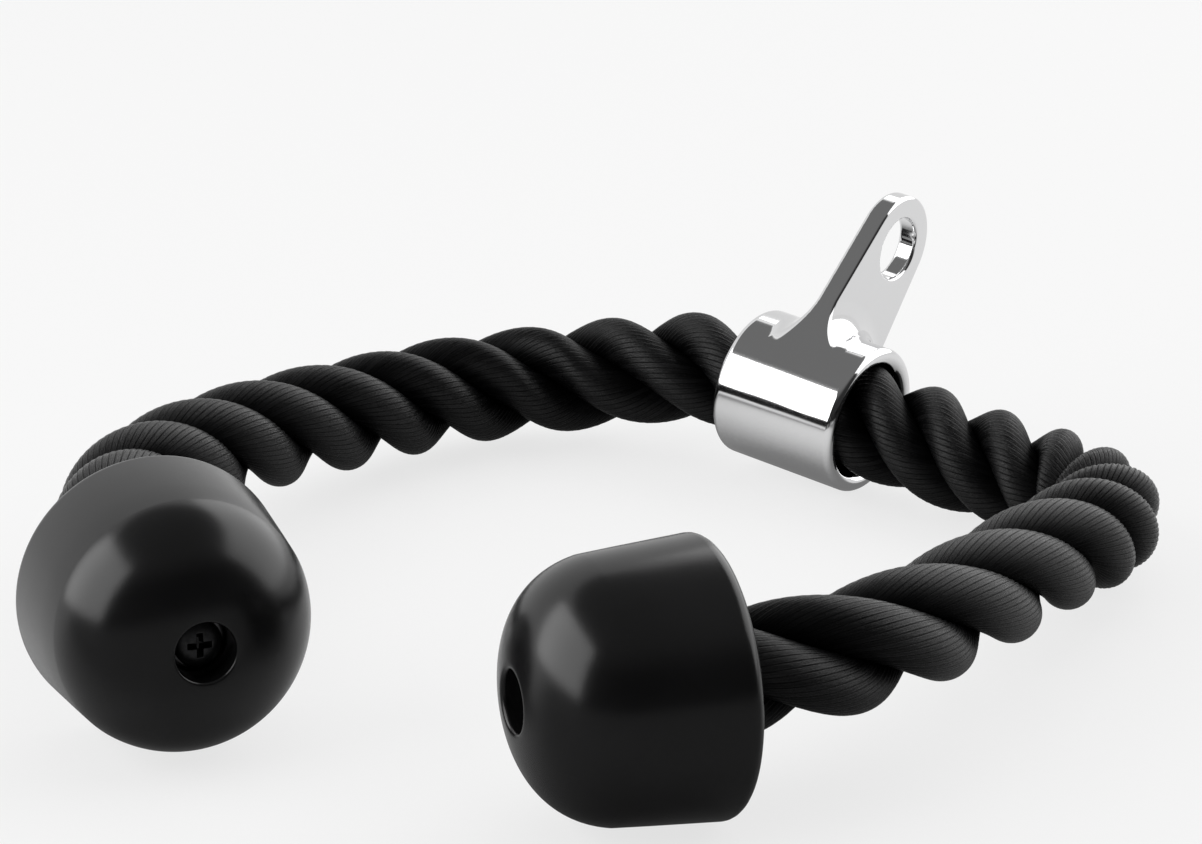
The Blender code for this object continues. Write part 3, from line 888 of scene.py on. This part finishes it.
class FitFasteners(bpy.types.Operator):
    """Fits each cap's screw, its washer and the plug that closes the rope's end"""

    bl_idname = "triceps_rope.fit_fasteners"
    bl_label = "Fit the fasteners"

    def execute(self, context):
        size, cap = context.scene.triceps_fasteners, context.scene.triceps_caps
        zinc = finish("zinc_plate", zinc_plate, size)
        black = finish("black_steel", black_steel, size)
        plate = cap.bore_depth + cap.web + size.seat
        seat = plate + size.washer_thickness + size.seat
        end = cap.bore_depth - size.seat
        start = end - size.ferrule_length
        floor = start + size.ferrule_floor
        tip = floor + size.seat
        field = screw_field(size, seat, tip)
        low = (tip, -size.head_radius, -size.head_radius)
        high = (seat + size.head_height, size.head_radius, size.head_radius)
        washer = self.washer_outline(size, plate, plate + size.washer_thickness)
        ferrule = self.ferrule_outline(size, start, floor, end)
        for side in SIDES:
            place = cap_frame(side)
            screw = moulded_piece(f"{side}_screw", field, low, high, SCREW_STEP, black, place)
            disc = turned_piece(f"{side}_washer", washer, PLATE_SIDES, zinc, place)
            plug = turned_piece(f"{side}_ferrule", ferrule, PLATE_SIDES, zinc, place)
            fitted = (
                (screw, "cap_screw", "black_screw_steel"),
                (disc, "cap_washer", "zinc_steel"),
                (plug, "rope_ferrule", "zinc_steel"),
            )
            for made, node, slot in fitted:
                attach(made, f"{side}_tail")
                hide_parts(f"{side}_{node}")
        return {"FINISHED"}

    def washer_outline(self, size, near, far):
        return rounded_outline([
            (near, size.hole_radius, size.washer_hole_edge),
            (near, size.washer_radius, size.washer_edge),
            (far, size.washer_radius, size.washer_edge),
            (far, size.hole_radius, size.washer_hole_edge),
        ])

    def ferrule_outline(self, size, start, floor, end):
        radius, slope, edge = size.ferrule_radius, size.ferrule_chamfer, size.ferrule_edge
        return rounded_outline([
            (start, 0, 0),
            (start, radius - slope, edge),
            (start + slope, radius, edge),
            (end - slope, radius, edge),
            (end, radius - slope, edge),
            (end, size.hole_radius, size.ferrule_hole_edge),
            (floor, size.hole_radius, 0),
            (floor, 0, 0),
        ])


# Stage


def lamp(name, compass, elevation, distance, size, radiance):
    """A soft rectangular lamp that faces the object, as bright per area as radiance says."""
    width, height = size
    data = bpy.data.lights.new(name, "AREA")
    data.shape = "RECTANGLE"
    data.size, data.size_y = width, height
    data.energy = radiance * math.pi * width * height
    made = bpy.data.objects.new(name, data)
    bpy.context.scene.collection.objects.link(made)
    a, e = math.radians(compass), math.radians(elevation)
    way = Vector((math.sin(a) * math.cos(e), math.cos(a) * math.cos(e), math.sin(e)))
    made.location = Vector(LAMP_TARGET) + way * distance
    made.rotation_euler = way.to_track_quat("Z", "Y").to_euler()
    made.visible_camera = False
    return made


def ray(shader, kind):
    return shader.node("ShaderNodeLightPath", None, None, f"Is {kind} Ray")


class SetCamera(bpy.types.Operator):
    """Places the camera where the photographer stood"""

    bl_idname = "triceps_rope.set_camera"
    bl_label = "Place the camera"

    def execute(self, context):
        data = bpy.data.cameras.new("photo_camera")
        data.sensor_width = CAMERA_SENSOR
        data.lens = CAMERA_LENS
        data.clip_start = NEAREST_SEEN
        data.clip_end = FARTHEST_SEEN
        made = bpy.data.objects.new("photo_camera", data)
        context.scene.collection.objects.link(made)
        made.location = CAMERA_PLACE
        made.rotation_euler = CAMERA_TURN
        context.scene.camera = made
        return {"FINISHED"}


class SetStage(bpy.types.Operator):
    """Lays the pale floor and sets the lamps and the studio round the object"""

    bl_idname = "triceps_rope.set_stage"
    bl_label = "Set the stage"

    def execute(self, context):
        stage = context.scene.triceps_stage
        context.scene.view_settings.view_transform = "Standard"
        self.floor(stage)
        self.studio(context, stage)
        lamps = {name: lamp(name, *values) for name, values in LAMPS.items()}
        lamps["overhead_lamp"].visible_glossy = False
        return {"FINISHED"}

    def floor(self, stage):
        angles = np.arange(FLOOR_SIDES) * 2 * math.pi / FLOOR_SIDES
        reach = stage.floor_size
        rim = [(math.cos(a) * reach, math.sin(a) * reach, 0.0) for a in angles]
        material = bpy.data.materials.new("pale_paper")
        shader = Shader(material)
        tooth = shader.noise(shader.place(), 400.0, 2.0)
        paper = shader.principled({
            "Base Color": solid(stage.paper),
            "Roughness": 0.9,
            "Specular IOR Level": 0.1,
            "Normal": shader.relief(tooth, 0.00005),
        })
        # Painted shade on the floor's glow for mirrored rays: darker where ambient occlusion finds the
        # object near, as a painted contact shadow, and darker on the camera's side
        near = shader.node("ShaderNodeAmbientOcclusion", {"samples": 8}, {"Distance": 0.12}, "AO")
        ahead = shader.along(shader.place(), TO_CAMERA)
        level = stage.mirrored * shader.ramp(near, 0.4, 1.0, 0.25, 1.0)
        level = level * shader.ramp(ahead, 0.02, 0.14, 1.0, 0.28)
        painted_floor_shade = shader.mix(level, BLACK, WHITE)
        mirrored = shader.maths("MAXIMUM", ray(shader, "Glossy"), ray(shader, "Transmission"))
        even = shader.maths("MAXIMUM", ray(shader, "Camera") * stage.evenness, mirrored)
        shade = shader.mix(mirrored, solid(stage.paper), painted_floor_shade)
        pale = shader.node("ShaderNodeEmission", None, {"Color": shade})
        shader.output(shader.blend(even, paper, pale))
        made = mesh_piece("floor", np.array(rim), [list(range(FLOOR_SIDES))], material)

    def studio(self, context, stage):
        world = bpy.data.worlds.new("studio")
        context.scene.world = world
        shader = Shader(world)
        way = shader.node("ShaderNodeTexCoord", None, None, "Generated")
        up = shader.node("ShaderNodeSeparateXYZ", None, {0: way}, "Z")
        away = shader.along(way, FROM_CAMERA)
        low = shader.ramp(up, 0.70, 0.80, 1.0, 0.0)
        behind = shader.ramp(away, -0.35, 0.25)
        seam = shader.ramp(abs(up - 0.75), 0.03, 0.0) * behind
        above = shader.ramp(up, 0.45, 0.85, 0.03, 0.17)
        level = above + 0.74 * (low * behind) + 0.5 * seam
        tent = shader.mix(level, BLACK, WHITE)
        seen = shader.mix(ray(shader, "Camera"), tent, solid(stage.paper))
        backdrop = shader.node("ShaderNodeBackground", None, {"Color": seen, "Strength": 1.0})
        shader.output(backdrop, "ShaderNodeOutputWorld")


class TricepsRopePanel(bpy.types.Panel):
    bl_idname = "VIEW3D_PT_triceps_rope"
    bl_label = "Triceps Rope"
    bl_space_type = "VIEW_3D"
    bl_region_type = "UI"
    bl_category = "Triceps Rope"

    def draw(self, context):
        for operator in STEPS:
            self.layout.operator(operator.bl_idname)


STEPS = (SetCamera, LayRope, CastEyeSleeve, MouldCaps, FitFasteners, SetStage)
SETTINGS = {
    "triceps_rope": RopeSettings,
    "triceps_casting": CastingSettings,
    "triceps_caps": CapSettings,
    "triceps_fasteners": FastenerSettings,
    "triceps_stage": StageSettings,
}


def register():
    for thing in (*SETTINGS.values(), *STEPS, TricepsRopePanel):
        bpy.utils.register_class(thing)
    for name, settings in SETTINGS.items():
        setattr(bpy.types.Scene, name, PointerProperty(type=settings))


def unregister():
    for name in SETTINGS:
        delattr(bpy.types.Scene, name)
    for thing in (TricepsRopePanel, *reversed(STEPS), *reversed(SETTINGS.values())):
        bpy.utils.unregister_class(thing)


def main():
    register()
    bpy.ops.triceps_rope.set_camera()
    bpy.ops.triceps_rope.lay_rope()
    bpy.ops.triceps_rope.cast_eye_sleeve()
    bpy.ops.triceps_rope.mould_caps()
    bpy.ops.triceps_rope.fit_fasteners()
    bpy.ops.triceps_rope.set_stage()


if __name__ == "__main__":
    main()
